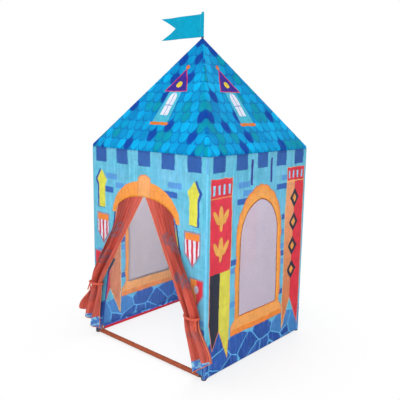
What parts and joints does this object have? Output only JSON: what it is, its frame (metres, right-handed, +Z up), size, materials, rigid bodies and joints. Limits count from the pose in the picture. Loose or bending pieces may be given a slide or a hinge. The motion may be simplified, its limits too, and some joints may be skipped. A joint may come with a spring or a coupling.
{
  "type": "play tent",
  "caption": "Square castle play tent: cloth walls and pyramid roof on push-fit tubes, an arched doorway with tied curtains, net windows and a flag.",
  "frame": {"origin": "on the floor, at the centre of the box round the whole tent; the pole frame's centre lies 26 mm behind it, because the tied curtains stand out at the front", "axes": "+Z up, -Y out of the doorway, +X to the right of someone who looks at the doorway from outside"},
  "size_m": [0.9166, 0.8225, 1.633],
  "materials": {
    "tube_plastic": "smooth extruded plastic tube, light grey",
    "joint_plastic": "moulded plastic with a fine texture, dark grey",
    "mast_plastic": "smooth plastic rod, dark grey",
    "roof_cloth": "printed polyester taffeta, soft sheen",
    "wall_cloth": "printed polyester taffeta, soft sheen",
    "threshold_cloth": "sewn polyester sleeve, brick red",
    "window_net_cloth": "fine lilac-grey mosquito net, see-through",
    "curtain_cloth": "thin printed polyester, half see-through, brick red",
    "tie_cloth": "woven tape, red",
    "flag_cloth": "thin polyester, turquoise"
  },
  "bodies": {
    "tent": {"front_left_base_corner": "joint_plastic", "front_left_eave_corner": "joint_plastic", "front_left_post_lower": "tube_plastic", "front_left_post_upper": "tube_plastic", "front_left_rafter_lower": "tube_plastic", "front_left_rafter_upper": "tube_plastic", "front_right_base_corner": "joint_plastic", "front_right_eave_corner": "joint_plastic", "front_right_post_lower": "tube_plastic", "front_right_post_upper": "tube_plastic", "front_right_rafter_lower": "tube_plastic", "front_right_rafter_upper": "tube_plastic", "back_right_base_corner": "joint_plastic", "back_right_eave_corner": "joint_plastic", "back_right_post_lower": "tube_plastic", "back_right_post_upper": "tube_plastic", "back_right_rafter_lower": "tube_plastic", "back_right_rafter_upper": "tube_plastic", "back_left_base_corner": "joint_plastic", "back_left_eave_corner": "joint_plastic", "back_left_post_lower": "tube_plastic", "back_left_post_upper": "tube_plastic", "back_left_rafter_lower": "tube_plastic", "back_left_rafter_upper": "tube_plastic", "front_base_tube_left": "tube_plastic", "front_base_tube_right": "tube_plastic", "front_eave_tube_left": "tube_plastic", "front_eave_tube_right": "tube_plastic", "back_base_tube_left": "tube_plastic", "back_base_tube_right": "tube_plastic", "back_eave_tube_left": "tube_plastic", "back_eave_tube_right": "tube_plastic", "left_base_tube_front": "tube_plastic", "left_base_tube_back": "tube_plastic", "left_eave_tube_front": "tube_plastic", "left_eave_tube_back": "tube_plastic", "right_base_tube_front": "tube_plastic", "right_base_tube_back": "tube_plastic", "right_eave_tube_front": "tube_plastic", "right_eave_tube_back": "tube_plastic", "roof_hub": "joint_plastic", "roof_canopy": "roof_cloth", "front_wall": "wall_cloth", "right_wall": "wall_cloth", "back_wall": "wall_cloth", "left_wall": "wall_cloth", "threshold_sleeve": "threshold_cloth", "left_window_net": "window_net_cloth", "right_window_net": "window_net_cloth", "left_curtain_upper": "curtain_cloth", "right_curtain_upper": "curtain_cloth"},
    "mast": {"flag_mast": "mast_plastic", "mast_cap": "mast_plastic"},
    "flag": {"flag": "flag_cloth"},
    "left_curtain": {"left_curtain_lower": "curtain_cloth", "left_tie_back": "tie_cloth"},
    "right_curtain": {"right_curtain_lower": "curtain_cloth", "right_tie_back": "tie_cloth"}
  },
  "joints": [
    {"name": "mast_lift", "type": "slide", "parent": "tent", "child": "mast", "axis": [0, 0, 1], "range_m": [0, 0.05]},
    {"name": "flag_swivel", "type": "hinge", "parent": "mast", "child": "flag", "pos_m": [0, 0.02613, 1.5155], "axis": [0, 0, 1], "continuous": true},
    {"name": "left_curtain_draw", "type": "slide", "parent": "tent", "child": "left_curtain", "axis": [1, 0, 0], "range_m": [0, 0.27]},
    {"name": "right_curtain_draw", "type": "slide", "parent": "tent", "child": "right_curtain", "axis": [-1, 0, 0], "range_m": [0, 0.27]}
  ]
}
